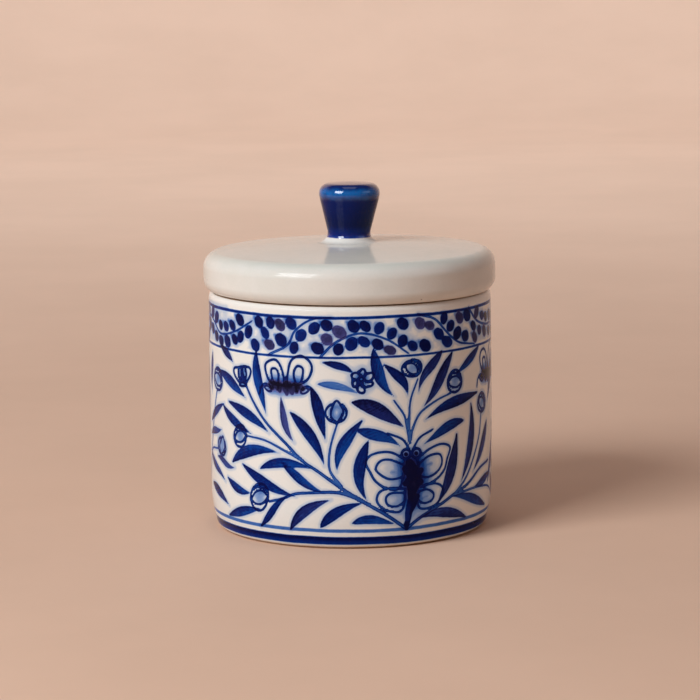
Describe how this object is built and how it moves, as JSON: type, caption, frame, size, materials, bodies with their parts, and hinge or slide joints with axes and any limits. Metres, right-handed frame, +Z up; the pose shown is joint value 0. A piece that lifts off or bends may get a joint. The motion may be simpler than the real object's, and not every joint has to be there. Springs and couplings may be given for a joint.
{
  "type": "lidded jar",
  "caption": "Small round glazed ceramic jar with a straight wall, a hand-painted blue and white surface and a lift-off lid with a flared pinch knob.",
  "frame": {"origin": "centre of the foot, on the surface the jar stands on", "axes": "+Z up along the axis of the jar, +Y away from the painted front, +X to the right when facing the front"},
  "size_m": [0.0922, 0.0922, 0.109],
  "materials": {
    "painted_glaze": "glossy clear glaze over cobalt-blue brushwork on a warm white body",
    "white_glaze": "glossy warm white glaze, faintly green where it pools",
    "cobalt_glaze": "glossy deep cobalt-blue glaze, thinner and brighter on its edges",
    "bare_clay": "unglazed tan stoneware, fine and matt"
  },
  "bodies": {
    "jar": {"jar_body": "painted_glaze", "foot_ring": "bare_clay"},
    "lid": {"lid_cap": "white_glaze", "locating_ring": "bare_clay", "knob_collar": "white_glaze", "lid_knob": "cobalt_glaze"}
  },
  "joints": [
    {"name": "lid_lift", "type": "slide", "parent": "jar", "child": "lid", "axis": [0, 0, 1], "range_m": [0, 0.1]}
  ]
}
